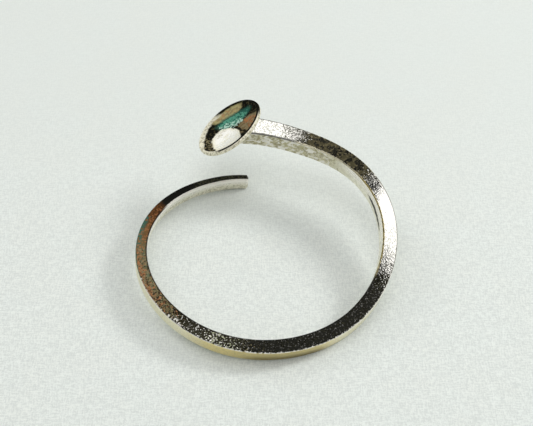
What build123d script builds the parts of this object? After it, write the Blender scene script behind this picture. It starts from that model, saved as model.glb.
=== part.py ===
from build123d import *
import math
import os

os.makedirs("parts", exist_ok=True)

# An open bracelet made of one forged bar that runs once round the wrist like a bent nail.
# The bar is thin at its point, thick at its head, and climbs as it goes round, so the head
# end passes above the point. The head is a thin dished disc soldered on at a slant.
# It lies on its side: the underside of the point and of the near stretch touch the table.

# overall sizes, in millimetres
HALF_WIDTH = 32.5      # centre of the bracelet to the outside of the bar, along X
CLIMB = 15.5           # how far the underside of the head end stands above the table
SHANK_WIDE = 5.0       # bar at the head end, measured towards the wrist
SHANK_DEEP = 5.4       # bar at the head end, measured up and down
ARRIS = 0.3            # rounding along the four long edges of the bar
TIP_BEVEL = 0.4        # bevel round the end of the point

# the head: a round dish of thin sheet with a rolled edge
HEAD_RADIUS = 9.2
HEAD_DEPTH = 1.4       # rim plane down to the lowest point of the hollow
HEAD_SHEET = 1.3
HEAD_STEP = 1.7        # last section of the bar to the middle of the dish's back
HEAD_DROP = 1.4        # the dish sits this much below the line of the bar
HEAD_BEARING = 166.0   # where the hollow faces, in degrees from +X in plan
HEAD_PITCH = 55.0      # and how far up from level it faces

# Sections of the bar from the point to the head. Columns:
# turn   place round the bracelet, in degrees from +X
# reach  centre of the bar from the middle of the bracelet, as a share of HALF_WIDTH
# lift   underside of the bar above the table, as a share of CLIMB
# wide   share of SHANK_WIDE
# deep   share of SHANK_DEEP
# lean   degrees the top of the bar tips outwards
SECTIONS = [
    {"turn": 102, "reach": 0.770, "lift": 0.000, "wide": 0.42, "deep": 0.60, "lean": 7},
    {"turn": 132, "reach": 0.844, "lift": 0.095, "wide": 0.45, "deep": 0.64, "lean": -3.3},
    {"turn": 162, "reach": 0.934, "lift": 0.148, "wide": 0.51, "deep": 0.67, "lean": -9.1},
    {"turn": 192, "reach": 0.954, "lift": 0.151, "wide": 0.58, "deep": 0.69, "lean": -5.6},
    {"turn": 222, "reach": 0.925, "lift": 0.114, "wide": 0.65, "deep": 0.70, "lean": 0.2},
    {"turn": 252, "reach": 0.902, "lift": 0.063, "wide": 0.70, "deep": 0.71, "lean": 6},
    {"turn": 282, "reach": 0.888, "lift": 0.017, "wide": 0.73, "deep": 0.73, "lean": 10},
    {"turn": 312, "reach": 0.896, "lift": 0.021, "wide": 0.74, "deep": 0.77, "lean": 12},
    {"turn": 342, "reach": 0.917, "lift": 0.189, "wide": 0.74, "deep": 0.82, "lean": 10.4},
    {"turn": 372, "reach": 0.933, "lift": 0.452, "wide": 0.75, "deep": 0.87, "lean": 5.8},
    {"turn": 402, "reach": 0.914, "lift": 0.624, "wide": 0.80, "deep": 0.92, "lean": -5.2},
    {"turn": 432, "reach": 0.856, "lift": 0.780, "wide": 0.89, "deep": 0.96, "lean": -9.5},
    {"turn": 462, "reach": 0.849, "lift": 1.000, "wide": 1.00, "deep": 1.00, "lean": -14},
]


def centre_of(row):
    """Centre of the bar at one row, high enough for its lower edge to stand at the row's lift."""
    turn = math.radians(row["turn"])
    lean = math.radians(row["lean"])
    reach = row["reach"] * HALF_WIDTH
    half_wide = row["wide"] * SHANK_WIDE / 2
    half_deep = row["deep"] * SHANK_DEEP / 2
    below = half_deep * math.cos(lean) + (half_wide - ARRIS) * abs(math.sin(lean))
    return Vector(reach * math.cos(turn), reach * math.sin(turn), row["lift"] * CLIMB + below)


def heading_at(index):
    """Direction of the bar at one row, from the rows on either side of it."""
    first = max(index - 1, 0)
    last = min(index + 1, len(SECTIONS) - 1)
    chord = (centre_of(SECTIONS[last]) - centre_of(SECTIONS[first])).normalized()
    if last - first == 2:
        return chord
    # an end row turns on by half a step more than its only chord
    inner = heading_at(1) if index == 0 else heading_at(len(SECTIONS) - 2)
    return (chord * 2 - inner).normalized()


def section_plane(index):
    """Plane square to the bar at one row, its x axis pointing away from the wrist."""
    heading = heading_at(index)
    outward = heading.cross(Vector(0, 0, 1)).normalized()
    upward = outward.cross(heading)
    lean = math.radians(SECTIONS[index]["lean"])
    leaning = outward * math.cos(lean) - upward * math.sin(lean)
    return Plane(origin=centre_of(SECTIONS[index]), x_dir=leaning, z_dir=heading)


# where the head sits
last_plane = section_plane(len(SECTIONS) - 1)
bearing = math.radians(HEAD_BEARING)
pitch = math.radians(HEAD_PITCH)
facing = Vector(math.cos(pitch) * math.cos(bearing), math.cos(pitch) * math.sin(bearing), math.sin(pitch))
level = facing.cross(Vector(0, 0, 1)).normalized()
downhill = facing.cross(level)
back_middle = last_plane.origin + last_plane.z_dir * HEAD_STEP + downhill * HEAD_DROP
rim_middle = back_middle + facing * (HEAD_DEPTH + HEAD_SHEET / 2)
# the dish's profile is drawn with the rim plane at height 0 and the hollow below it
head_plane = Plane(origin=rim_middle, x_dir=level, z_dir=level.cross(facing))

# profile of the dish
edge = HEAD_SHEET / 2
flat_radius = HEAD_RADIUS - edge
front_radius = (flat_radius ** 2 + HEAD_DEPTH ** 2) / (2 * HEAD_DEPTH)
mouth_angle = math.degrees(math.asin(flat_radius / front_radius))

with BuildPart() as forged_bar:
    # from the thick end down to the point
    for index in reversed(range(len(SECTIONS))):
        with BuildSketch(section_plane(index)):
            RectangleRounded(SECTIONS[index]["wide"] * SHANK_WIDE, SECTIONS[index]["deep"] * SHANK_DEEP, ARRIS)
    loft()
    # the point's end is bevelled all round
    tip = SECTIONS[0]
    with BuildSketch(section_plane(0)):
        RectangleRounded(tip["wide"] * SHANK_WIDE, tip["deep"] * SHANK_DEEP, ARRIS)
    with BuildSketch(section_plane(0).offset(-TIP_BEVEL)):
        RectangleRounded(tip["wide"] * SHANK_WIDE - TIP_BEVEL * 2, tip["deep"] * SHANK_DEEP - TIP_BEVEL * 2, ARRIS)
    loft(ruled=True)
    # the bar runs on straight into the back of the dish
    with BuildSketch(last_plane):
        RectangleRounded(SHANK_WIDE, SHANK_DEEP, ARRIS)
    extrude(amount=HEAD_STEP + HEAD_RADIUS)
    # and ends at the middle of the sheet
    with BuildSketch(Plane(origin=back_middle, x_dir=level, z_dir=facing)):
        Circle(HEAD_RADIUS * 2)
    extrude(amount=HEAD_RADIUS * 2, mode=Mode.SUBTRACT)

with BuildPart() as lying:
    add(forged_bar.part)
    with BuildSketch(head_plane):
        with BuildLine():
            hollow = CenterArc((0, front_radius - HEAD_DEPTH), front_radius, -90, mouth_angle)
            under = CenterArc((0, front_radius - HEAD_DEPTH), front_radius + HEAD_SHEET, -90, mouth_angle)
            Line(hollow @ 0, under @ 0)
            rolled = ThreePointArc(hollow @ 1, (hollow @ 1 + under @ 1) / 2 + (hollow % 1) * edge, under @ 1)
        make_face()
    revolve(axis=Axis(rim_middle, facing))

# the finished piece stands with the middle of its underside at the origin
outer_box = lying.part.bounding_box()
with BuildPart() as nail_bangle:
    with Locations((-outer_box.center().X, -outer_box.center().Y, -outer_box.min.Z)):
        add(lying.part)

nail_bangle.part.label = "nail_bangle"
export_step(nail_bangle.part, "parts/nail_bangle.step")
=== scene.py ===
"""Looks for a nail bracelet: one forged, tapering bar bent round the wrist, with a dished head.

The bar and the dish are worked out here as fine surfaces over the same sizes as the solid, so that
the metal reflects smoothly. Lengths in the dataclasses are millimetres; meshes are in metres.
"""

import logging
import math
from dataclasses import dataclass
from enum import Enum

import bpy
import numpy as np
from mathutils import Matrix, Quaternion, Vector


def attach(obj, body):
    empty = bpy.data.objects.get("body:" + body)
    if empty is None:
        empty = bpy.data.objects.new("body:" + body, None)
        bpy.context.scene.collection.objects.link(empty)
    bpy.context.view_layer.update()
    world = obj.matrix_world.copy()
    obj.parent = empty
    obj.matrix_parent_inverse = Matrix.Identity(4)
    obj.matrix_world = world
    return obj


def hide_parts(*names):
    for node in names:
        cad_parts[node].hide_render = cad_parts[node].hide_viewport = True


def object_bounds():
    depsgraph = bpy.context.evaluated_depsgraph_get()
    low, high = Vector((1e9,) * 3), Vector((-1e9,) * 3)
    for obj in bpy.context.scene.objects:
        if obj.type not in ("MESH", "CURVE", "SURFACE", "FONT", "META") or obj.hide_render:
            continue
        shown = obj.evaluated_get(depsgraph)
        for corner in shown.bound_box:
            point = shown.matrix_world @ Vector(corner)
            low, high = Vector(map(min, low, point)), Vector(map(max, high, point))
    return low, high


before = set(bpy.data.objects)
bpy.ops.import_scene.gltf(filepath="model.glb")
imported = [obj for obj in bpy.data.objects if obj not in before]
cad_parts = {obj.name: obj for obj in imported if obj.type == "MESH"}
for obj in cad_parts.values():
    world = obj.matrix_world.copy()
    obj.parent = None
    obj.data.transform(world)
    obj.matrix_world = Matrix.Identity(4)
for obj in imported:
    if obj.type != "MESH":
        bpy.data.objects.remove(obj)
solid_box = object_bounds()

log = logging.getLogger("nail_bracelet")
MM = 0.001
UP = np.array([0.0, 0.0, 1.0])
Colour = tuple[float, float, float]
Rise = tuple[float, float]  # where a smooth step starts and ends
Band = tuple[float, float, float]  # where a band starts and ends, and half of how far its ends fade
Flecks = tuple[float, float]  # how far apart in millimetres, and about how much of the surface they cover


@dataclass(frozen=True)
class Value:
    """A node's output in Python sums; each sign adds one Math node."""

    shader: "Shader"
    socket: bpy.types.NodeSocket | None

    def _sum(self, operation: str, *terms: "Value | float") -> "Value":
        """Add one Math node of this operation, with the terms as its inputs."""
        return self.shader.add("ShaderNodeMath", {"operation": operation}, dict(enumerate(terms)))

    def __add__(self, other: "Value | float") -> "Value":
        """This plus the other."""
        return self._sum("ADD", self, other)

    def __sub__(self, other: "Value | float") -> "Value":
        """This minus the other."""
        return self._sum("SUBTRACT", self, other)

    def __rsub__(self, other: "Value | float") -> "Value":
        """The other minus this."""
        return self._sum("SUBTRACT", other, self)

    def __mul__(self, other: "Value | float") -> "Value":
        """This times the other."""
        return self._sum("MULTIPLY", self, other)

    __radd__ = __add__

    def most(self, other: "Value | float") -> "Value":
        """The larger of this and the other."""
        return self._sum("MAXIMUM", self, other)

    def step(self, low: float, high: float) -> "Value":
        """Rise smoothly from 0 at low to 1 at high."""
        sockets = {"Value": self, "From Min": low, "From Max": high}
        return self.shader.add("ShaderNodeMapRange", {"interpolation_type": "SMOOTHSTEP"}, sockets)

    def band(self, low: float, high: float, soft: float) -> "Value":
        """One between low and high, and nought outside, with ends that fade over soft on either side."""
        return self.step(low - soft, low + soft) * (1 - self.step(high - soft, high + soft))


@dataclass(frozen=True)
class Patch:
    """A soft oval on a surface.

    x, y: its middle. long, short: half its length and half its width. turned: by how many degrees.
    soft: half of how far its edge fades, in squared shares of its size.
    """

    x: float
    y: float
    long: float
    short: float
    turned: float
    soft: float

    def cover(self, x: Value, y: Value) -> Value:
        """Say how much of each place it covers; the squared shares of its half sizes sum to 1 at its edge.

        Args:
            x: first coordinate of each place.
            y: second coordinate.

        Returns:
            One inside, nought outside.
        """
        cosine, sine = math.cos(math.radians(self.turned)), math.sin(math.radians(self.turned))
        along = ((x - self.x) * cosine + (y - self.y) * sine) * (1 / self.long)
        beside = ((y - self.y) * cosine - (x - self.x) * sine) * (1 / self.short)
        return 1 - (along * along + beside * beside).step(1 - self.soft, 1 + self.soft)


@dataclass(frozen=True)
class Grain:
    """A kind of cloudy noise.

    spacing: between neighbouring clouds, in millimetres. detail: how many finer layers lie on them.
    rough: how strong those are. stretch: how many times longer the clouds are each way.
    """

    spacing: float
    detail: float = 1.0
    rough: float = 0.5
    stretch: tuple[float, float, float] = (1, 1, 1)


class Shader:
    """A material's node tree, and the one way in which nodes are added to it.

    apart: how many clouds each noise lies from the one before. A fleck is a peak of the noise: spread
    lowers its edge with the cover, thinning raises it where the share is less, and crisp is half its rise.
    """

    apart = (7.3, 0.0, 3.1)
    spread = 0.28
    thinning = 0.4
    crisp = 0.03

    def __init__(self, name: str) -> None:
        """Start a material with an empty tree.

        Args:
            name: the material's name.
        """
        self.material = bpy.data.materials.new(name)
        self.material.use_nodes = True
        self.tree = self.material.node_tree
        self.tree.nodes.clear()
        self.noises = 0

    def add(
        self,
        kind: str,
        settings: dict[str, object] | None = None,
        sockets: dict[str | int, object] | None = None,
        output: str | int = 0,
    ) -> Value:
        """Add a node.

        Args:
            kind: the node's type.
            settings: its properties, set before its sockets.
            sockets: values or other nodes' outputs, by the socket's name or place.
            output: which of its outputs is wanted.

        Returns:
            The wanted output.
        """
        node = self.tree.nodes.new(kind)
        for key, setting in (settings or {}).items():
            setattr(node, key, setting)
        for key, given in (sockets or {}).items():
            if isinstance(given, Value):
                self.tree.links.new(given.socket, node.inputs[key])
            elif isinstance(given, tuple) and node.inputs[key].type == "RGBA":
                node.inputs[key].default_value = (*given, 1.0)
            else:
                node.inputs[key].default_value = given
        return Value(self, node.outputs[output] if node.outputs else None)

    def mix(self, share: Value, first: Value | Colour, second: Value | Colour) -> Value:
        """Blend two colours; share is how much of the second shows."""
        return self.add("ShaderNodeMix", {"data_type": "RGBA"}, {0: share, 6: first, 7: second}, 2)

    def read(self, name: str) -> Value:
        """A number that the mesh carries for each point."""
        return self.add("ShaderNodeAttribute", {"attribute_name": name}, None, "Fac")

    def place(self) -> Value:
        """Object coordinates in millimetres."""
        sockets = {0: self.add("ShaderNodeTexCoord", None, None, "Object"), "Scale": 1 / MM}
        return self.add("ShaderNodeVectorMath", {"operation": "SCALE"}, sockets)

    def noise(self, grain: Grain) -> Value:
        """Cloudy noise; each call gives other clouds.

        Args:
            grain: the kind of noise.

        Returns:
            Values from 0 to 1, about 0.5 in the middle.
        """
        self.noises += 1
        squeeze = tuple(1 / (grain.spacing * times) for times in grain.stretch)
        shift = tuple(step * self.noises for step in self.apart)
        moved = {0: self.place(), 1: squeeze, 2: shift}
        scaled = self.add("ShaderNodeVectorMath", {"operation": "MULTIPLY_ADD"}, moved)
        sockets = {"Vector": scaled, "Scale": 1.0, "Detail": grain.detail, "Roughness": grain.rough}
        return self.add("ShaderNodeTexNoise", {"normalize": True}, sockets)

    def sway(self, grain: Grain, width: float) -> Value:
        """Noise that swings about nought, with width from its lowest to its highest."""
        return (self.noise(grain) - 0.5) * width

    def flecks(self, share: Value, kind: Flecks) -> Value:
        """Break a share of the surface up into crisp flecks, which get rarer where the share is less.

        Args:
            share: one where the flecks are thickest, nought where there are none.
            kind: how far apart the flecks are, and their cover; near nought it still gives a few.

        Returns:
            One on a fleck, nought beside it.
        """
        spacing, cover = kind
        edge = 0.5 + (0.5 - cover) * self.spread
        height = self.noise(Grain(spacing)) + (share - 1) * self.thinning
        return height.step(edge - self.crisp, edge + self.crisp)

    def bump(self, height: Value, depth: float) -> Value:
        """Turn a height from 0 to 1 into a tilt; depth is in millimetres."""
        sockets = {"Height": height, "Distance": depth * MM, "Strength": 1.0}
        return self.add("ShaderNodeBump", None, sockets)

    def finish(self, sockets: dict[str, object]) -> bpy.types.Material:
        """End the tree in one Principled shader.

        Args:
            sockets: what the shader is given.

        Returns:
            The finished material.
        """
        shader = self.add("ShaderNodeBsdfPrincipled", None, sockets)
        self.add("ShaderNodeOutputMaterial", None, {"Surface": shader})
        return self.material


@dataclass(frozen=True)
class Coat:
    """One look of the plate: its colour, how much is bare metal, and how rough it is."""

    colour: Value | Colour
    metallic: Value | float
    rough: Value | float


@dataclass
class Layers:
    """A finish of coats, each over a share of the surface; blend is what they make so far."""

    shader: Shader
    blend: Coat

    def lay(self, share: Value, coat: Coat) -> None:
        """Blend another coat in: each number moves by the share of the way to the coat's.

        Args:
            share: how much of each place it covers.
            coat: the coat.
        """
        colour = self.shader.mix(share, self.blend.colour, coat.colour)
        metallic = self.blend.metallic + share * (coat.metallic - self.blend.metallic)
        self.blend = Coat(colour, metallic, self.blend.rough + share * (coat.rough - self.blend.rough))

    def lay_row(self, share: Value, where: Value, row: "Stretch | Stain") -> None:
        """Lay a row's coat, whole or broken up into its flecks.

        Args:
            share: how far the row reaches, from 0 to 1.
            where: the part of the surface that can take it.
            row: the coat, its strength and its flecks.
        """
        if row.flecks is not None:
            share = self.shader.flecks(share, row.flecks)
        self.lay(share * where * row.strength, row.coat)

    def finish(self, normal: Value, specular: float) -> bpy.types.Material:
        """End the material in these coats, with its tilt, and how much its unmetallic share mirrors."""
        coat = self.blend
        sockets = {"Base Color": coat.colour, "Metallic": coat.metallic, "Roughness": coat.rough}
        return self.shader.finish(sockets | {"Normal": normal, "Specular IOR Level": specular})


def unit(vectors: np.ndarray) -> np.ndarray:
    """Each vector divided by its own length."""
    return vectors / np.linalg.norm(vectors, axis=-1, keepdims=True)


def smooth_through(knots: np.ndarray, values: np.ndarray, wanted: np.ndarray) -> np.ndarray:
    """Natural cubic through even knots: its second derivative runs straight between them, from 0 to 0.

    Args:
        knots: places of the rows.
        values: one row of values a knot.
        wanted: places to work out.

    Returns:
        One row of values a wanted place.
    """
    gap = knots[1] - knots[0]
    inner = len(knots) - 2
    bend = np.zeros_like(values)
    weights = np.eye(inner) * 4 + np.eye(inner, k=1) + np.eye(inner, k=-1)
    bend[1:-1] = np.linalg.solve(weights, 6 * (values[:-2] - 2 * values[1:-1] + values[2:]) / gap**2)
    place = np.clip(((wanted - knots[0]) / gap).astype(int), 0, len(knots) - 2)
    late = ((wanted - knots[place]) / gap)[:, None]
    early = 1 - late
    straight = early * values[place] + late * values[place + 1]
    curved = (early**3 - early) * bend[place] + (late**3 - late) * bend[place + 1]
    return straight + curved * gap**2 / 6


@dataclass(frozen=True)
class Dents:
    """Gentle unevenness, as high as height and about spacing apart, in millimetres; seed picks it."""

    height: float
    spacing: float
    seed: int
    waves: int = 12
    shortest: float = 0.6
    longest: float = 1.6

    def heights(self, along: np.ndarray, across: np.ndarray) -> np.ndarray:
        """Add up waves that run every way, shortest to longest spacings long, and even out their number.

        Args:
            along: first place of each point.
            across: second place of each point.

        Returns:
            Heights either side of nought.
        """
        chance = np.random.default_rng(self.seed)
        turns = chance.uniform(0, 2 * math.pi, self.waves)
        starts = chance.uniform(0, 2 * math.pi, self.waves)
        shares = chance.uniform(self.shortest, self.longest, self.waves)
        total = np.zeros(np.broadcast(along, across).shape)
        for turn, start, share in zip(turns, starts, shares):
            step = 2 * math.pi / (self.spacing * share)
            total += np.cos((along * math.cos(turn) + across * math.sin(turn)) * step + start)
        return total / math.sqrt(self.waves * 2) * self.height


@dataclass
class Skin:
    """A surface as rings of points, before it is a mesh.

    rings: places as rings x points x 3, all turning the same way. carried: numbers for each point.
    """

    name: str
    rings: np.ndarray
    carried: dict[str, np.ndarray]

    def make(self, shift: np.ndarray) -> bpy.types.Object:
        """Make the mesh, closed at both ends by a fan to the middle of the last ring.

        Args:
            shift: how far all places are moved.

        Returns:
            The object.
        """
        rings = self.rings + shift
        count, around = rings.shape[:2]
        places = np.concatenate([rings.reshape(-1, 3), rings[:1].mean(1), rings[-1:].mean(1)]) * MM
        ring, spot = np.meshgrid(np.arange(count - 1), np.arange(around), indexing="ij")
        beside = (spot + 1) % around
        here, ahead = ring * around, (ring + 1) * around
        quads = np.stack([here + spot, ahead + spot, ahead + beside, here + beside], -1)
        edge = np.arange(around)
        after = (edge + 1) % around
        last = (count - 1) * around
        first_fan = np.stack([edge, after, np.full(around, count * around)], -1)
        last_fan = np.stack([last + after, last + edge, np.full(around, count * around + 1)], -1)
        corners = np.concatenate([quads.reshape(-1), first_fan.reshape(-1), last_fan.reshape(-1)])
        sides = np.concatenate([np.full(quads.size // 4, 4), np.full(around * 2, 3)])
        mesh = bpy.data.meshes.new(self.name)
        mesh.vertices.add(len(places))
        mesh.vertices.foreach_set("co", places.astype(np.float32).ravel())
        mesh.loops.add(len(corners))
        mesh.loops.foreach_set("vertex_index", corners.astype(np.int32))
        mesh.polygons.add(len(sides))
        mesh.polygons.foreach_set("loop_start", (np.cumsum(sides) - sides).astype(np.int32))
        mesh.polygons.foreach_set("use_smooth", np.ones(len(sides), bool))
        mesh.update(calc_edges=True)
        mesh.validate()
        for key, numbers in self.carried.items():
            whole = np.concatenate([numbers.ravel(), [numbers[0].mean(), numbers[-1].mean()]])
            attribute = mesh.attributes.new(key, "FLOAT", "POINT")
            attribute.data.foreach_set("value", whole.astype(np.float32))
        piece = bpy.data.objects.new(self.name, mesh)
        bpy.context.scene.collection.objects.link(piece)
        return piece


@dataclass(frozen=True)
class Section:
    """One row of the bar.

    turn: place round the bracelet, in degrees from +X. reach: share of half the width. lift: share of
    the climb. wide, deep: shares of the bar's size at its head. lean: degrees its top tips outwards.
    """

    turn: float
    reach: float
    lift: float
    wide: float
    deep: float
    lean: float


SECTIONS = (
    Section(102, 0.770, 0.000, 0.42, 0.60, 7),
    Section(132, 0.844, 0.095, 0.45, 0.64, -3.3),
    Section(162, 0.934, 0.148, 0.51, 0.67, -9.1),
    Section(192, 0.954, 0.151, 0.58, 0.69, -5.6),
    Section(222, 0.925, 0.114, 0.65, 0.70, 0.2),
    Section(252, 0.902, 0.063, 0.70, 0.71, 6),
    Section(282, 0.888, 0.017, 0.73, 0.73, 10),
    Section(312, 0.896, 0.021, 0.74, 0.77, 12),
    Section(342, 0.917, 0.189, 0.74, 0.82, 10.4),
    Section(372, 0.933, 0.452, 0.75, 0.87, 5.8),
    Section(402, 0.914, 0.624, 0.80, 0.92, -5.2),
    Section(432, 0.856, 0.780, 0.89, 0.96, -9.5),
    Section(462, 0.849, 1.000, 1.00, 1.00, -14),
)


@dataclass
class DishedHead:
    """The shallow round dish.

    step and drop place it past the bar's last section. bearing and pitch are where the hollow faces, in
    degrees. The first ring lies first_swing from its middle, in radians of the hollow's ball.
    """

    radius: float = 9.2
    depth: float = 1.4
    sheet: float = 1.3
    step: float = 1.7
    drop: float = 1.4
    bearing: float = 166.0
    pitch: float = 55.0
    dents: Dents = Dents(0.015, 3.4, 5)
    first_swing: float = 0.004
    hollow_rings: int = 30
    roll_rings: int = 16
    ring_points: int = 144

    def axes(self) -> tuple[np.ndarray, np.ndarray, np.ndarray]:
        """Work out the dish's own axes.

        Returns:
            The way it faces, the level way across it, and the downhill way across it.
        """
        bearing, pitch = math.radians(self.bearing), math.radians(self.pitch)
        plan = np.array([math.cos(bearing), math.sin(bearing), 0.0])
        facing = plan * math.cos(pitch) + UP * math.sin(pitch)
        level = unit(np.cross(facing, UP))
        return facing, level, np.cross(facing, level)

    def ball(self, end: np.ndarray, heading: np.ndarray) -> tuple[np.ndarray, float]:
        """Find the ball that the hollow is part of.

        Args:
            end: middle of the bar's last section.
            heading: the way the bar runs there.

        Returns:
            The ball's middle and radius.
        """
        facing, _, downhill = self.axes()
        flat = self.radius - self.sheet / 2
        round_radius = (flat**2 + self.depth**2) / (2 * self.depth)
        back = end + heading * self.step + downhill * self.drop
        return back + facing * (round_radius + self.sheet / 2), round_radius

    def surface(self, middle: np.ndarray, hollow_radius: float) -> Skin:
        """Turn the dish's profile round the way that it faces.

        The profile runs over the hollow, half round the rolled edge and back under the sheet. Points on
        the ball are (radius x sine, -radius x cosine) from its middle.

        Args:
            middle: the ball's middle.
            hollow_radius: its radius.

        Returns:
            The dish's skin.
        """
        facing, level, downhill = self.axes()
        edge = self.sheet / 2
        mouth = math.asin((self.radius - edge) / hollow_radius)
        swing = np.linspace(self.first_swing, mouth, self.hollow_rings)
        roll = np.linspace(0, math.pi, self.roll_rings + 2)[1:-1]
        inward = np.array([-math.sin(mouth), math.cos(mouth)])
        beyond = np.array([math.cos(mouth), math.sin(mouth)])
        arc = np.stack([np.sin(swing), -np.cos(swing)], 1)
        over, under = arc * hollow_radius, (arc * (hollow_radius + self.sheet))[::-1]
        rolled = edge * (np.cos(roll)[:, None] * inward + np.sin(roll)[:, None] * beyond)
        rolled = rolled - inward * (hollow_radius + edge)
        profile = np.concatenate([over, rolled, under])
        angle = np.linspace(0, 2 * math.pi, self.ring_points, endpoint=False)
        spoke = np.cos(angle)[:, None] * level + np.sin(angle)[:, None] * downhill
        flat_level, flat_down = profile[:, :1] * np.cos(angle), profile[:, :1] * np.sin(angle)
        height = profile[:, 1:] + self.dents.heights(flat_level, flat_down)
        rings = middle + profile[:, 0][:, None, None] * spoke[None] + height[..., None] * facing
        # 1 over the hollow, falling to 0 round the rolled edge
        inside = np.concatenate([np.ones(len(over)), np.linspace(1, 0, len(rolled)), np.zeros(len(under))])
        carried = {"level": flat_level, "down": flat_down}
        carried["inside"] = np.repeat(inside[:, None], len(angle), 1)
        return Skin("dished_head", rings, carried)


@dataclass
class ForgedBar:
    """The bar: half the bracelet's width, its climb, and its section at the head, as in the solid.

    crown is how far each face stands out in its middle. cap, bevel and run_on are where rings lie on the
    end of the point, down its bevel and on the way into the dish, as shares of each.
    """

    half_width: float = 32.5
    climb: float = 15.5
    wide: float = 5.0
    deep: float = 5.4
    arris: float = 0.3
    tip_bevel: float = 0.4
    crown: float = 0.012
    dents: Dents = Dents(0.012, 6.0, 3)
    stations: int = 900
    face_points: int = 12
    arris_points: int = 6
    cap: tuple[float, ...] = (0.04, 0.3, 0.55, 0.8, 0.96)
    bevel: tuple[float, ...] = (0.98, 0.9, 0.5, 0.1, 0.02)
    run_on: tuple[float, ...] = (0.25, 0.5, 0.75, 1.0)

    def outline(self) -> tuple[np.ndarray, np.ndarray]:
        """Unit outline of the section, from the middle of its underside.

        A point is its anchor times the half sizes less the arris, plus the arris times its facing.

        Returns:
            Anchors and facings, one row a point, as outward and upward parts.
        """
        corner = np.linspace(0, math.pi / 2, self.arris_points)
        run = np.sin(np.linspace(-math.pi / 2, math.pi / 2, self.face_points + 2)[1:-1])
        anchors, facings = [], []
        # the four sides in turn: under, outer, top, inner, each followed by its arris
        for side in range(4):
            facing = np.array([math.sin(side * math.pi / 2), -math.cos(side * math.pi / 2)])
            along = np.array([-facing[1], facing[0]])
            anchors.append(facing + run[:, None] * along)
            facings.append(np.repeat(facing[None], len(run), 0))
            anchors.append(np.repeat((facing + along)[None], len(corner), 0))
            facings.append(np.cos(corner)[:, None] * facing + np.sin(corner)[:, None] * along)
        return np.concatenate(anchors), np.concatenate(facings)

    def path(self) -> dict[str, np.ndarray]:
        """Join the sections by natural cubics over the turn.

        The centre stands high enough for the lower edge to be at the row's lift. Outward is level and
        square to the line, and the lean turns it about the line.

        Returns:
            turn, centre, heading, outward, upward, half sizes.
        """
        rows = np.array([[s.reach, s.lift, s.wide, s.deep, s.lean] for s in SECTIONS])
        knots = np.array([s.turn for s in SECTIONS], float)
        turn = np.linspace(knots[0], knots[-1], self.stations)
        reach, lift, wide, deep, lean = smooth_through(knots, rows, turn).T
        angle, tip = np.radians(turn), np.radians(lean)
        half_wide, half_deep = wide * self.wide / 2, deep * self.deep / 2
        below = half_deep * np.cos(tip) + (half_wide - self.arris) * np.abs(np.sin(tip))
        radius = reach * self.half_width
        centre = np.stack([radius * np.cos(angle), radius * np.sin(angle), lift * self.climb + below], 1)
        heading = unit(np.gradient(centre, axis=0))
        level = unit(np.cross(heading, UP))
        rise = np.cross(level, heading)
        outward = level * np.cos(tip)[:, None] - rise * np.sin(tip)[:, None]
        upward = np.cross(outward, heading)
        half = np.stack([half_wide, half_deep], 1)
        return dict(turn=turn, centre=centre, heading=heading, outward=outward, upward=upward, half=half)

    def surface(self, path: dict[str, np.ndarray], sheet_middle: np.ndarray, sheet_radius: float) -> Skin:
        """Carry the section along the path, bevel the point, and run the last stretch into the dish.

        Args:
            path: the bar's stations.
            sheet_middle: middle of the ball that the dish's sheet is on, half way through it.
            sheet_radius: radius of that ball.

        Returns:
            The bar's skin.
        """
        anchors, facings = self.outline()
        reach_out = path["half"][:, None, :] - self.arris
        flat = anchors[None] * reach_out + self.arris * facings[None]
        strides = np.linalg.norm(np.diff(path["centre"], axis=0), axis=1)
        length = np.concatenate([[0], np.cumsum(strides)])
        girth = np.cumsum(np.linalg.norm(np.diff(flat, axis=1, append=flat[:, :1]), axis=2), axis=1)
        worked = self.dents.heights(length[:, None], girth)
        belly = (1 - np.min(np.abs(anchors), axis=1) ** 2) * self.crown
        flat = flat + facings[None] * (worked + belly[None])[..., None]
        rings = (
            path["centre"][:, None]
            + flat[..., :1] * path["outward"][:, None]
            + flat[..., 1:] * path["upward"][:, None]
        )
        tip_rings = self._tip(path, flat[0])
        end_rings = self._into_head(rings[-1], path["heading"][-1], sheet_middle, sheet_radius)
        everything = np.concatenate([tip_rings, rings, end_rings])
        count, around = everything.shape[:2]
        turn = np.pad(path["turn"], (len(tip_rings), len(end_rings)), "edge")
        carried = {"turn": np.repeat(turn[:, None], around, 1)}
        outer, top = np.clip(facings, 0, 1).T
        each_point = {"across": anchors[:, 0], "upright": anchors[:, 1], "top": top, "outer": outer}
        carried |= {key: np.repeat(numbers[None], count, 0) for key, numbers in each_point.items()}
        return Skin("forged_bar", everything, carried)

    def _tip(self, path: dict[str, np.ndarray], flat: np.ndarray) -> np.ndarray:
        """Rings out over the point's end and down its bevel: its section, shrunk and set back.

        Args:
            path: the bar's stations.
            flat: the first section.

        Returns:
            The rings.
        """
        half = path["half"][0]
        steps = [(self.tip_bevel, 1 - (1 - self.tip_bevel / half) * share) for share in self.cap]
        steps += [(self.tip_bevel * share, self.tip_bevel * share / half) for share in self.bevel]
        rings = [
            path["centre"][0]
            - path["heading"][0] * back
            + flat[:, :1] * (1 - shrink[0]) * path["outward"][0]
            + flat[:, 1:] * (1 - shrink[1]) * path["upward"][0]
            for back, shrink in steps
        ]
        return np.array(rings)

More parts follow.
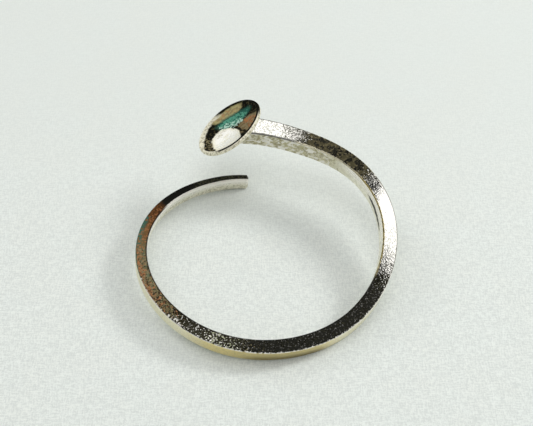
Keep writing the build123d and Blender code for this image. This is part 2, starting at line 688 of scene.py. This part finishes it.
    def _into_head(
        self, ring: np.ndarray, heading: np.ndarray, sheet_middle: np.ndarray, sheet_radius: float
    ) -> np.ndarray:
        """Rings that run on along the heading, up to the ball that the middle of the dish's sheet is on.

        Args:
            ring: the last ring.
            heading: the way the bar runs there.
            sheet_middle: the ball's middle.
            sheet_radius: its radius.

        Returns:
            The rings.
        """
        offset = ring - sheet_middle
        ahead = offset @ heading
        reach = np.sqrt(np.maximum(ahead**2 - (offset**2).sum(1) + sheet_radius**2, 0))
        travel = -ahead - reach
        return np.array([ring + heading * (travel * share)[:, None] for share in self.run_on])


# the looks that the plate takes: clean, worn and tarnished, with painted dark reflections, highlights and
# shade among them
SILVER = Coat((0.93, 0.91, 0.85), 1.0, 0.07)
SIDE = Coat((0.90, 0.87, 0.74), 0.85, 0.3)
PITTED = Coat((0.42, 0.40, 0.27), 0.6, 0.4)
DUN = Coat((0.46, 0.42, 0.24), 0.6, 0.35)
STRAW = Coat((0.99, 0.93, 0.69), 0.85, 0.3)
GOLD = Coat((0.88, 0.72, 0.30), 0.85, 0.3)
# bronze flecks, and painted shade low on the outer side where the bar rests
BRONZE_AND_PAINTED_SHADE = Coat((0.19, 0.145, 0.045), 0.7, 0.35)
# painted highlight: near-white and mostly matt, laid as glints, bright arris lines and the pale upper
# inner side
PAINTED_HIGHLIGHT = Coat((0.99, 0.96, 0.88), 0.2, 0.25)
GREYED = Coat((0.50, 0.50, 0.43), 0.9, 0.2)
# painted dim reflection: near-black metal laid over the top where it mirrors the dark room
PAINTED_DIM_REFLECTION = Coat((0.04, 0.038, 0.02), 0.9, 0.2)
# painted dark reflection: a matt black coat laid where the metal mirrors the dark room or its own shade
PAINTED_DARK_REFLECTION = Coat((0.008, 0.008, 0.006), 0.0, 0.4)
# painted grey reflection: dark grey flecks in the painted black of the top
PAINTED_GREY_REFLECTION = Coat((0.055, 0.055, 0.03), 0.2, 0.4)
OLIVE = Coat((0.08, 0.068, 0.03), 0.2, 0.4)
KHAKI = Coat((0.185, 0.15, 0.068), 0.2, 0.4)
DRAB = Coat((0.26, 0.22, 0.12), 0.2, 0.4)
UMBER = Coat((0.27, 0.215, 0.115), 0.1, 0.4)
BROWN = Coat((0.11, 0.042, 0.009), 0.1, 0.4)
RUSSET = Coat((0.16, 0.085, 0.03), 0.1, 0.4)
ORANGE = Coat((0.42, 0.17, 0.07), 0.1, 0.4)
TAN = Coat((0.47, 0.42, 0.20), 0.1, 0.4)
TEAL = Coat((0.11, 0.36, 0.25), 0.1, 0.35)
DEEP_TEAL = Coat((0.03, 0.13, 0.095), 0.1, 0.35)
VERDIGRIS = Coat((0.50, 0.72, 0.60), 0.2, 0.3)
# painted pale glint: light flecks where the top sparkles
PAINTED_PALE_GLINT = Coat((0.66, 0.68, 0.45), 0.2, 0.3)
# painted cream highlight, low in the dish's hollow
PAINTED_CREAM_HIGHLIGHT = Coat((1.0, 0.985, 0.92), 0.4, 0.2)
# painted pale reflection, round the dish's highlight and on its rolled edge
PAINTED_PALE_REFLECTION = Coat((0.93, 0.89, 0.71), 0.3, 0.35)


class Face(Enum):
    """A part of the bar's section."""

    TOP = "top"
    TOP_OUTSIDE = "outer half of the top"
    OUTER = "outer"
    OUTER_LOW = "lower half of the outer side"
    INNER = "inner, and underneath"
    INNER_HIGH = "upper half of the inner side"
    OUTER_ARRIS = "arris between top and outer side"
    INNER_ARRIS = "arris between top and inner side"


@dataclass(frozen=True)
class Stretch:
    """A coat on one face over part of the turn, whole or in flecks.

    start, end: degrees of turn. soft: half of how far its ends fade. strength: how thick the coat lies.
    """

    face: Face
    coat: Coat
    start: float
    end: float
    soft: float
    strength: float = 1.0
    flecks: Flecks | None = None


STRETCHES = (
    # face, coat, start, end, soft, strength, flecks
    # sides, with painted highlight high on the inner side and painted shade low on the outer side where it
    # rests
    (Face.INNER, PITTED, 90, 470, 4, 0.25, (0.9, 0.4)),
    (Face.INNER, DUN, 404, 480, 8, 0.4),
    (Face.INNER, DUN, 408, 480, 8, 0.7, (0.9, 0.45)),
    (Face.INNER_HIGH, DUN, 418, 450, 8, 0.6, (0.8, 0.5)),
    (Face.INNER, DUN, 90, 150, 8, 0.12),
    (Face.INNER, DRAB, 90, 165, 6, 0.35, (0.6, 0.3)),
    (Face.INNER_HIGH, PAINTED_HIGHLIGHT, 90, 184, 4),
    (Face.INNER_HIGH, PAINTED_HIGHLIGHT, 358, 406, 6),
    (Face.INNER, BRONZE_AND_PAINTED_SHADE, 408, 470, 6, 0.45, (1.2, 0.4)),
    (Face.INNER, PAINTED_HIGHLIGHT, 408, 470, 6, 0.9, (1.0, 0.3)),
    (Face.OUTER, STRAW, 186, 322, 8),
    (Face.OUTER, GOLD, 238, 299, 9, 0.85),
    # painted shade darkening the outer side where it rests on the cloth
    (Face.OUTER, BRONZE_AND_PAINTED_SHADE, 260, 292, 10, 0.33),
    (Face.OUTER_LOW, BRONZE_AND_PAINTED_SHADE, 263, 296, 6, 0.8),
    (Face.OUTER, PITTED, 170, 340, 6, 0.2, (0.5, 0.3)),
    # top on the left: olive, brown, orange, khaki and teal coats, with black flecks of painted dark
    # reflection
    (Face.TOP, OLIVE, 146, 230, 4, 0.97),
    (Face.TOP, BROWN, 147, 171, 4, 0.97),
    (Face.TOP, PAINTED_DARK_REFLECTION, 152, 184, 6, 0.6, (0.5, 0.3)),
    (Face.TOP, RUSSET, 166, 182, 5, 0.9),
    (Face.TOP, ORANGE, 153, 182, 6, 0.5, (0.55, 0.32)),
    (Face.TOP, KHAKI, 180, 224, 6, 0.85),
    (Face.TOP, DRAB, 178, 234, 8, 0.9, (0.5, 0.46)),
    (Face.TOP_OUTSIDE, ORANGE, 176, 214, 8, 0.25),
    (Face.TOP_OUTSIDE, ORANGE, 176, 216, 8, 0.7, (0.6, 0.45)),
    (Face.TOP, ORANGE, 174, 232, 6, 0.7, (0.8, 0.16)),
    (Face.TOP, DEEP_TEAL, 172, 206, 6, 0.4, (0.6, 0.25)),
    (Face.TOP, PAINTED_DARK_REFLECTION, 178, 240, 8, 0.75, (0.5, 0.2)),
    (Face.TOP, PAINTED_DARK_REFLECTION, 203, 236, 6, 0.85, (0.5, 0.36)),
    (Face.TOP_OUTSIDE, DEEP_TEAL, 162, 181, 3, 0.8, (0.9, 0.85)),
    # top elsewhere: painted dark reflection, with painted highlight and pale glint flecks where it gleams
    (Face.TOP, PAINTED_DARK_REFLECTION, 90, 154, 2),
    (Face.TOP, PAINTED_GREY_REFLECTION, 90, 134, 8, 0.9, (0.5, 0.5)),
    (Face.TOP, PAINTED_DIM_REFLECTION, 221, 341, 4, 0.985, (0.4, 0.97)),
    (Face.TOP, PAINTED_GREY_REFLECTION, 250, 341, 6, 0.4, (0.4, 0.3)),
    (Face.TOP, PAINTED_HIGHLIGHT, 220, 234, 6, 0.95, (0.45, 0.05)),
    (Face.TOP, PAINTED_HIGHLIGHT, 242, 252, 6, 0.8, (0.45, 0.05)),
    (Face.TOP_OUTSIDE, PAINTED_HIGHLIGHT, 217, 234, 8, 0.9, (0.45, 0.08)),
    (Face.TOP, PAINTED_PALE_GLINT, 238, 260, 6, 0.8, (0.45, 0.1)),
    (Face.TOP, DRAB, 256, 274, 8, 0.8, (0.45, 0.12)),
    (Face.TOP, PAINTED_DARK_REFLECTION, 260, 335, 6, 0.9, (0.45, 0.85)),
    (Face.TOP, PAINTED_DIM_REFLECTION, 338, 348, 3, 0.9, (0.38, 0.3)),
    (Face.TOP, GREYED, 342, 368, 5, 0.6, (0.4, 0.32)),
    (Face.TOP, PAINTED_DIM_REFLECTION, 389, 433, 4, 0.96),
    (Face.TOP, PAINTED_DIM_REFLECTION, 384, 392, 3, 0.9, (0.38, 0.35)),
    (Face.TOP, PAINTED_DIM_REFLECTION, 426, 443, 3, 0.9, (0.38, 0.48)),
    (Face.TOP, OLIVE, 390, 432, 6, 0.75, (1.1, 0.55)),
    (Face.TOP, DRAB, 388, 436, 6, 0.5, (0.5, 0.15)),
    (Face.TOP, PAINTED_HIGHLIGHT, 384, 400, 6, 0.9, (0.38, 0.06)),
    (Face.TOP, PAINTED_HIGHLIGHT, 424, 438, 5, 0.7, (0.38, 0.05)),
    (Face.TOP, GREYED, 432, 466, 4, 0.8, (0.42, 0.35)),
    # arrises: painted highlight lines, painted dark reflection lines, and gold and straw lines
    (Face.INNER_ARRIS, PAINTED_HIGHLIGHT, 90, 154, 3, 0.8),
    (Face.INNER_ARRIS, PAINTED_DARK_REFLECTION, 154, 342, 4, 0.85),
    (Face.INNER_ARRIS, GOLD, 342, 400, 6, 0.9),
    (Face.INNER_ARRIS, STRAW, 394, 433, 4, 0.7),
    (Face.INNER_ARRIS, BRONZE_AND_PAINTED_SHADE, 345, 380, 5, 0.8, (0.6, 0.35)),
    (Face.INNER_ARRIS, PAINTED_DARK_REFLECTION, 434, 475, 4, 0.75),
    (Face.OUTER_ARRIS, PAINTED_DARK_REFLECTION, 90, 165, 4),
    (Face.OUTER_ARRIS, DEEP_TEAL, 161, 198, 4, 0.9),
    (Face.OUTER_ARRIS, PAINTED_HIGHLIGHT, 198, 345, 6, 0.9, (0.6, 0.8)),
    (Face.OUTER_ARRIS, STRAW, 383, 434, 4, 0.9),
)


@dataclass(frozen=True)
class Relief:
    """Fine unevenness: specks on wider spots, each with the same share of the depth in millimetres."""

    specks: Grain
    spots: Grain
    share: float
    depth: float

    def tilt(self, shader: Shader, livelier: Value | float = 0.0) -> Value:
        """Tilt the surface by its specks and spots.

        Args:
            shader: the material being made.
            livelier: what is added to the specks' share.

        Returns:
            The tilt.
        """
        specks, spots = shader.noise(self.specks), shader.noise(self.spots)
        return shader.bump(specks * (livelier + self.share) + spots * self.share, self.depth)


@dataclass(frozen=True)
class FaceEdges:
    """Where the faces of the bar begin and end.

    facing: how far a place faces up to be on top, or out to be on the outer side. arris: how far up to be
    on an arris. The rest are shares of the half width outwards or the half depth upwards. The top's lines
    are ragged by swing, and its half by half_swing times that.
    """

    facing: Rise = (0.5, 0.9)
    arris: Band = (0.25, 0.85, 0.05)
    outer_half: Rise = (-0.1, 0.7)
    lower_half: Rise = (-0.9, 0.5)
    upper_half: Rise = (-0.5, 0.9)
    outer_line: Rise = (1.0, 1.04)
    inner_line: Rise = (0.91, 0.97)
    middle: Rise = (-0.3, 0.3)
    ragged: Grain = Grain(0.5)
    swing: float = 0.24
    half_swing: float = 3

    def split(self, shader: Shader) -> dict[Face, Value]:
        """Work out how much each place is part of each face.

        Args:
            shader: the material being made.

        Returns:
            A value from 0 to 1 for each face.
        """
        across, upright = shader.read("across"), shader.read("upright")
        top, outer = shader.read("top"), shader.read("outer")
        ragged = shader.sway(self.ragged, self.swing)
        on_top, on_outer = top.step(*self.facing), outer.step(*self.facing)
        on_inner = (1 - on_top) * (1 - on_outer)
        arris = top.band(*self.arris)
        outwards = across.step(*self.middle)
        outer_line = arris.most(on_top * (across + ragged).step(*self.outer_line))
        inner_line = arris.most(on_top * (ragged - across).step(*self.inner_line))
        return {
            Face.TOP: on_top,
            Face.TOP_OUTSIDE: on_top * (across + ragged * self.half_swing).step(*self.outer_half),
            Face.OUTER: on_outer,
            Face.OUTER_LOW: on_outer * (1 - upright.step(*self.lower_half)),
            Face.INNER: on_inner,
            Face.INNER_HIGH: on_inner * upright.step(*self.upper_half),
            Face.OUTER_ARRIS: outer_line * outwards,
            Face.INNER_ARRIS: inner_line * (1 - outwards),
        }


@dataclass(frozen=True)
class BarFinish:
    """The bar's plate: silver on top, matt on its sides, with the coats of the stretches laid over it.

    The stretches' ends wander over drift, in degrees. Some stretches are painted dark reflections,
    highlights and shade. The dark line on the inner side is a painted reflection, over degrees of turn
    and its scale times the share of the half depth. The lively bands of turn, each with a share, have
    livelier specks.
    """

    stretches: tuple[Stretch, ...] = tuple(Stretch(*row) for row in STRETCHES)
    edges: FaceEdges = FaceEdges()
    wander: Grain = Grain(4.5, 2.0, 0.6)
    drift: float = 8.0
    painted_dark_line: Patch = Patch(375, -2.5, 10.5, 2.8, 16, 0.4)
    painted_line_scale: float = 10
    painted_line_wander: Grain = Grain(0.6)
    painted_line_drift: float = 3
    painted_line_strength: float = 0.95
    relief: Relief = Relief(Grain(0.4), Grain(0.8, 2.0, 0.6), 0.25, 0.045)
    lively: tuple[tuple[Band, float], ...] = (
        ((206, 266, 8), 1.0),
        ((336, 356, 4), 0.8),
        ((380, 440, 4), 0.6),
    )
    livelier: float = 0.6
    specular: float = 0.15

    def build(self) -> bpy.types.Material:
        """Make the bar's material.

        Returns:
            The material.
        """
        shader = Shader("bar_plate")
        layers = Layers(shader, SILVER)
        turn = shader.read("turn")
        faces = self.edges.split(shader)
        layers.lay(1 - faces[Face.TOP], SIDE)
        wandering = turn + shader.sway(self.wander, self.drift)
        for stretch in self.stretches:
            share = wandering.band(stretch.start, stretch.end, stretch.soft)
            layers.lay_row(share, faces[stretch.face], stretch)
        # a dark reflection painted on the inner side, as a streak
        height = shader.read("upright") * self.painted_line_scale
        painted_line_share = self.painted_dark_line.cover(turn, height + shader.sway(self.painted_line_wander, self.painted_line_drift))
        layers.lay(painted_line_share * faces[Face.INNER] * self.painted_line_strength, PAINTED_DARK_REFLECTION)
        lively = sum(turn.band(*band) * share for band, share in self.lively)
        return layers.finish(self.relief.tilt(shader, lively * self.livelier), self.specular)


@dataclass(frozen=True)
class Stain:
    """A coat on a soft patch of the dish, whole or in flecks; strength is how thick it lies."""

    patch: Patch
    coat: Coat
    strength: float = 1.0
    flecks: Flecks | None = None


RIGHT_RIM = Patch(5.7, 2.8, 4.8, 1.6, 112, 0.35)
# where the painted cream highlight lies in the dish
PAINTED_GLEAM = Patch(-4.7, -0.8, 6.4, 3.3, 43, 0.35)
STAINS = (
    # patch, coat, strength, flecks
    (Patch(-5.6, 5.0, 5.0, 2.0, 34, 0.5), DRAB, 0.85, (0.5, 0.35)),
    (Patch(-0.8, -6.6, 4.4, 3.2, 66, 0.3), UMBER, 0.95),
    (Patch(-0.6, -6.4, 4.2, 2.8, 70, 0.35), BROWN, 0.55, (0.9, 0.4)),
    (Patch(0.9, -6.3, 3.6, 1.0, 76, 0.6), ORANGE, 0.95, (0.9, 0.62)),
    (Patch(-2.0, -7.6, 2.4, 1.0, 25, 0.5), ORANGE, 0.7, (0.6, 0.5)),
    (RIGHT_RIM, TAN, 0.95),
    (RIGHT_RIM, ORANGE, 0.5, (0.8, 0.3)),
    (RIGHT_RIM, UMBER, 0.8, (0.8, 0.35)),
    (Patch(3.6, 0.0, 5.4, 2.1, 106, 0.45), DEEP_TEAL, 0.9),
    (Patch(3.2, 0.2, 4.8, 1.9, 106, 0.45), TEAL, 0.95, (0.6, 0.66)),
    (Patch(1.7, 0.4, 4.4, 1.5, 96, 0.5), VERDIGRIS, 0.9, (0.5, 0.5)),
    # painted pale reflection and cream highlight, low in the hollow
    (Patch(-4.6, -0.5, 6.8, 3.8, 43, 0.1), PAINTED_PALE_REFLECTION),
    (PAINTED_GLEAM, PAINTED_CREAM_HIGHLIGHT),
    (Patch(-0.9, 2.8, 2.2, 0.9, -20, 0.6), UMBER, 0.5, (0.5, 0.4)),
    (PAINTED_GLEAM, PAINTED_PALE_REFLECTION, 0.6, (1.1, 0.3)),
    # a thin line of painted dark reflection
    (Patch(-2.4, -4.6, 4.4, 0.4, 50, 0.6), PAINTED_DARK_REFLECTION, 0.95),
)


@dataclass(frozen=True)
class Lip:
    """The dish's rolled edge: painted pale reflection, broad downhill, with painted dark reflection
    uphill. Sizes in millimetres.

    starts: how far out the broad part begins. Past left it narrows, by narrowing of its squared distance
    a millimetre. downhill, right and far: where those parts begin. roll, broad_from, dark_from and line
    are places round the edge, 1 in the hollow and 0 under it.
    """

    starts: Rise = (7.3, 7.9)
    left: float = -2.6
    narrowing: float = 4.3
    downhill: Rise = (-0.5, 1.5)
    right: Rise = (5.0, 7.0)
    far: Rise = (0.0, 2.5)
    roll: Band = (0.06, 0.97, 0.03)
    broad_from: Rise = (0.1, 0.3)
    dark_from: Rise = (0.35, 0.5)
    line: Band = (0.7, 0.985, 0.02)
    flecks: Flecks = (0.6, 0.3)
    fleck_strength: float = 0.5

    def lay(self, layers: Layers, x: Value, y: Value, inside: Value) -> None:
        """Lay the edge's coats.

        Args:
            layers: the coats so far.
            x: place level across the dish.
            y: place downhill across it.
            inside: one in the hollow, nought under it.
        """
        rolled = inside.band(*self.roll)
        low = y.step(*self.downhill)
        downhill = low * (1 - x.step(*self.right))
        reach = x * x + y * y - (self.left - x).most(0) * self.narrowing
        broad = reach.step(self.starts[0] ** 2, self.starts[1] ** 2) * downhill
        far = x.step(*self.far) * (1 - low)
        # painted pale reflection on the rolled edge, broad downhill
        layers.lay(rolled.most(broad * inside.step(*self.broad_from)), PAINTED_PALE_REFLECTION)
        flecked = layers.shader.flecks(rolled.most(broad), self.flecks)
        layers.lay(flecked * self.fleck_strength, DRAB)
        # painted dark reflection on the far part of the rolled edge, and in a line round the hollow's edge
        # uphill
        layers.lay(rolled * far * inside.step(*self.dark_from), PAINTED_DARK_REFLECTION)
        layers.lay(inside.band(*self.line) * (1 - downhill), PAINTED_DARK_REFLECTION)


@dataclass(frozen=True)
class DishFinish:
    """The dish's plate: painted black reflection over the hollow, with a painted cream highlight low
    in it, tarnish stains round that, and a lip of painted pale reflection.

    hollow is where it begins, as on the lip. The stains' places wander over the drifts, in millimetres,
    and flecks are sprinkled under them.
    """

    stains: tuple[Stain, ...] = tuple(Stain(*row) for row in STAINS)
    lip: Lip = Lip()
    hollow: Rise = (0.9, 0.99)
    level_wander: Grain = Grain(2.6, 2.0, 0.6)
    level_drift: float = 1.4
    down_wander: Grain = Grain(1.6, 2.0, 0.6)
    down_drift: float = 1.8
    sprinkle: Flecks = (0.6, 0.16)
    sprinkle_strength: float = 0.7
    relief: Relief = Relief(Grain(0.5), Grain(1.0, 2.0, 0.6), 0.5, 0.05)
    specular: float = 0.0

    def build(self) -> bpy.types.Material:
        """Make the dish's material.

        Returns:
            The material.
        """
        shader = Shader("dish_plate")
        layers = Layers(shader, SIDE)
        inside = shader.read("inside")
        hollow = inside.step(*self.hollow)
        x = shader.read("level") + shader.sway(self.level_wander, self.level_drift)
        y = shader.read("down") + shader.sway(self.down_wander, self.down_drift)
        # painted dark reflection over the whole hollow, under the stains and the painted highlight
        layers.lay(hollow, PAINTED_DARK_REFLECTION)
        layers.lay(shader.flecks(hollow, self.sprinkle) * self.sprinkle_strength, OLIVE)
        for stain in self.stains:
            layers.lay_row(stain.patch.cover(x, y), hollow, stain)
        self.lip.lay(layers, x, y, inside)
        return layers.finish(self.relief.tilt(shader), self.specular)


@dataclass(frozen=True)
class Linen:
    """The cloth that the bracelet lies on: pale and faintly cool, with a fine plain weave.

    The weave is fluff and threads each way, slub times longer than thick. It is pressed plainer towards
    the back, over pressed_from in millimetres, where it is also painted a little darker as shade. dim is
    the shade between the threads.
    """

    pale: Colour = (0.815, 0.855, 0.815)
    dim: Colour = (0.655, 0.69, 0.66)
    warm: Colour = (0.82, 0.84, 0.785)
    thread: float = 0.34
    slub: float = 5.0
    fluff: Grain = Grain(0.34, 2.0, 0.6)
    blotches: Grain = Grain(14.0, 3.0, 0.6)
    thread_share: float = 0.3
    fluff_share: float = 0.4
    weave_rise: Rise = (0.38, 0.62)
    blotch_rise: Rise = (0.35, 0.65)
    blotch_share: float = 0.4
    pressed_from: Rise = (-20, 75)
    pressed_share: float = 0.75
    painted_back_shade: float = 0.42
    dim_share: float = 0.9
    relief: float = 0.05
    rough: float = 0.95
    specular: float = 0.1

    def build(self) -> bpy.types.Material:
        """Make the cloth's material.

        Returns:
            The material.
        """
        shader = Shader("linen")
        warp = shader.noise(Grain(self.thread, stretch=(1, self.slub, 1)))
        weft = shader.noise(Grain(self.thread, stretch=(self.slub, 1, 1)))
        fluff, blotches = shader.noise(self.fluff), shader.noise(self.blotches)
        back = shader.add("ShaderNodeSeparateXYZ", None, {0: shader.place()}, "Y")
        pressed = back.step(*self.pressed_from) * self.pressed_share
        weave = warp * self.thread_share + weft * self.thread_share + fluff * self.fluff_share
        # where the cloth is pressed it is also painted a little darker, as shade towards the back
        shade = weave.step(*self.weave_rise) * (1 - pressed) + pressed * self.painted_back_shade
        tone = shader.mix(blotches.step(*self.blotch_rise) * self.blotch_share, self.pale, self.warm)
        colour = shader.mix(self.dim_share - shade * self.dim_share, tone, self.dim)
        normal = shader.bump(weave * (1 - pressed), self.relief)
        sockets = {"Base Color": colour, "Roughness": self.rough, "Normal": normal}
        return shader.finish(sockets | {"Specular IOR Level": self.specular})


class Seen(Enum):
    """What a light shows on."""

    CLOTH = "the cloth and what is matt; nothing mirrors it"
    METAL = "what mirrors it; it lights nothing that is matt"


@dataclass(frozen=True)
class Softbox:
    """A square light that faces the bracelet.

    bearing: right of straight behind, height: above level, and roll: about the way it faces, in degrees.
    away, wide and tall are in metres.
    """

    name: str
    seen: Seen
    bearing: float
    height: float
    away: float
    wide: float
    tall: float
    watts: float
    roll: float = 0.0

    def build(self) -> None:
        """Hang the light along its bearing and height, facing back along them."""
        bearing, height = math.radians(self.bearing), math.radians(self.height)
        level = math.cos(height)
        way = Vector((math.sin(bearing) * level, math.cos(bearing) * level, math.sin(height)))
        lamp = bpy.data.lights.new(self.name, "AREA")
        lamp.shape = "RECTANGLE"
        lamp.size, lamp.size_y, lamp.energy = self.wide, self.tall, self.watts
        light = bpy.data.objects.new(self.name, lamp)
        light.location = way * self.away
        light.rotation_mode = "QUATERNION"
        rolled = Quaternion((0, 0, 1), math.radians(self.roll))
        light.rotation_quaternion = way.to_track_quat("Z", "Y") @ rolled
        light.visible_glossy = self.seen is Seen.METAL
        light.visible_diffuse = self.seen is Seen.CLOTH
        bpy.context.scene.collection.objects.link(light)


@dataclass(frozen=True)
class Studio:
    """The cloth, the lights, the tent round them and the camera.

    The camera looks down by elevation, in degrees, from distance. focal is in pixels of a picture that
    is long_side wide, and near in metres. room is the tent's light.
    """

    cloth_side: float = 1600.0
    elevation: float = 50.0
    distance: float = 300.0
    target: tuple[float, float, float] = (0.283, 12.364, 0.017)
    long_side: float = 533.0
    focal: float = 1152.1
    sensor: float = 36.0
    near: float = 0.01
    room: Colour = (0.50, 0.504, 0.50)
    lights: tuple[Softbox, ...] = (
        # name, seen, bearing, height, away, wide, tall, watts, roll
        Softbox("key", Seen.CLOTH, 65, 33, 1.2, 0.24, 0.28, 5.85),
        Softbox("second", Seen.CLOTH, -46, 34.5, 1.2, 0.45, 0.45, 1.7),
        Softbox("overhead", Seen.CLOTH, 0, 90, 1.2, 0.9, 0.9, 4.1),
        Softbox("upper_card", Seen.METAL, 66.52, 55.24, 0.611, 0.35, 0.3, 0.42, -25.4),
        Softbox("west_card", Seen.METAL, -20.85, 68.19, 0.612, 0.12, 0.20, 0.09, -9.5),
        Softbox("low_card", Seen.METAL, -28, 9, 0.45, 0.42, 0.18, 0.26),
        Softbox("front_fill", Seen.METAL, 180, 62, 1.0, 0.7, 0.5, 1.85),
    )

    def spread_cloth(self) -> None:
        """Lay the cloth flat under the bracelet."""
        half = self.cloth_side / 2 * MM
        corners = [(-half, -half, 0), (half, -half, 0), (half, half, 0), (-half, half, 0)]
        mesh = bpy.data.meshes.new("cloth")
        mesh.from_pydata(corners, [], [(0, 1, 2, 3)])
        cloth = bpy.data.objects.new("cloth", mesh)
        cloth.data.materials.append(Linen().build())
        bpy.context.scene.collection.objects.link(cloth)

    def light(self) -> None:
        """Hang the lights in a pale tent that lights the cloth, but which the metal doesn't mirror."""
        world = bpy.data.worlds.new("room")
        world.use_nodes = True
        world.node_tree.nodes["Background"].inputs["Color"].default_value = (*self.room, 1.0)
        world.cycles_visibility.glossy = False
        bpy.context.scene.world = world
        for softbox in self.lights:
            softbox.build()
        bpy.context.scene.view_settings.view_transform = "Standard"

    def aim(self) -> None:
        """Stand the camera at the photograph's angle."""
        tilt = math.radians(self.elevation)
        back = Vector((0, -math.cos(tilt), math.sin(tilt)))
        lens = bpy.data.cameras.new("camera")
        lens.sensor_width = self.sensor
        lens.lens = self.focal / self.long_side * lens.sensor_width
        lens.clip_start = self.near
        camera = bpy.data.objects.new("camera", lens)
        camera.location = (Vector(self.target) + back * self.distance) * MM
        camera.rotation_mode = "QUATERNION"
        camera.rotation_quaternion = back.to_track_quat("Z", "Y")
        bpy.context.scene.collection.objects.link(camera)
        bpy.context.scene.camera = camera


@dataclass
class Bracelet:
    """The soldered whole: the dish and the bar, which both stand for the one solid."""

    head: DishedHead
    bar: ForgedBar

    def build(self) -> None:
        """Build and dress both, with the middle of their underside where the solid's is."""
        path = self.bar.path()
        middle, hollow = self.head.ball(path["centre"][-1], path["heading"][-1])
        dish = self.head.surface(middle, hollow)
        bar = self.bar.surface(path, middle, hollow + self.head.sheet / 2)
        places = np.concatenate([dish.rings.reshape(-1, 3), bar.rings.reshape(-1, 3)])
        solid = np.array([list(corner) for corner in solid_box]) / MM
        shift = solid.mean(0) - (places.min(0) + places.max(0)) / 2
        shift[2] = solid[0, 2] - places[:, 2].min()
        for skin, finish in ((dish, DishFinish()), (bar, BarFinish())):
            piece = skin.make(shift)
            piece.data.materials.append(finish.build())
            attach(piece, "root")
            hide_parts("nail_bangle")
            log.info("%s: %d faces", piece.name, len(piece.data.polygons))


def main() -> None:
    """Build the studio and the bracelet, and log each piece's face count."""
    logging.basicConfig(level=logging.INFO, format="%(name)s: %(message)s")
    studio = Studio()
    studio.aim()
    studio.light()
    studio.spread_cloth()
    log.info("studio ready")
    Bracelet(DishedHead(), ForgedBar()).build()


if __name__ == "__main__":
    main()
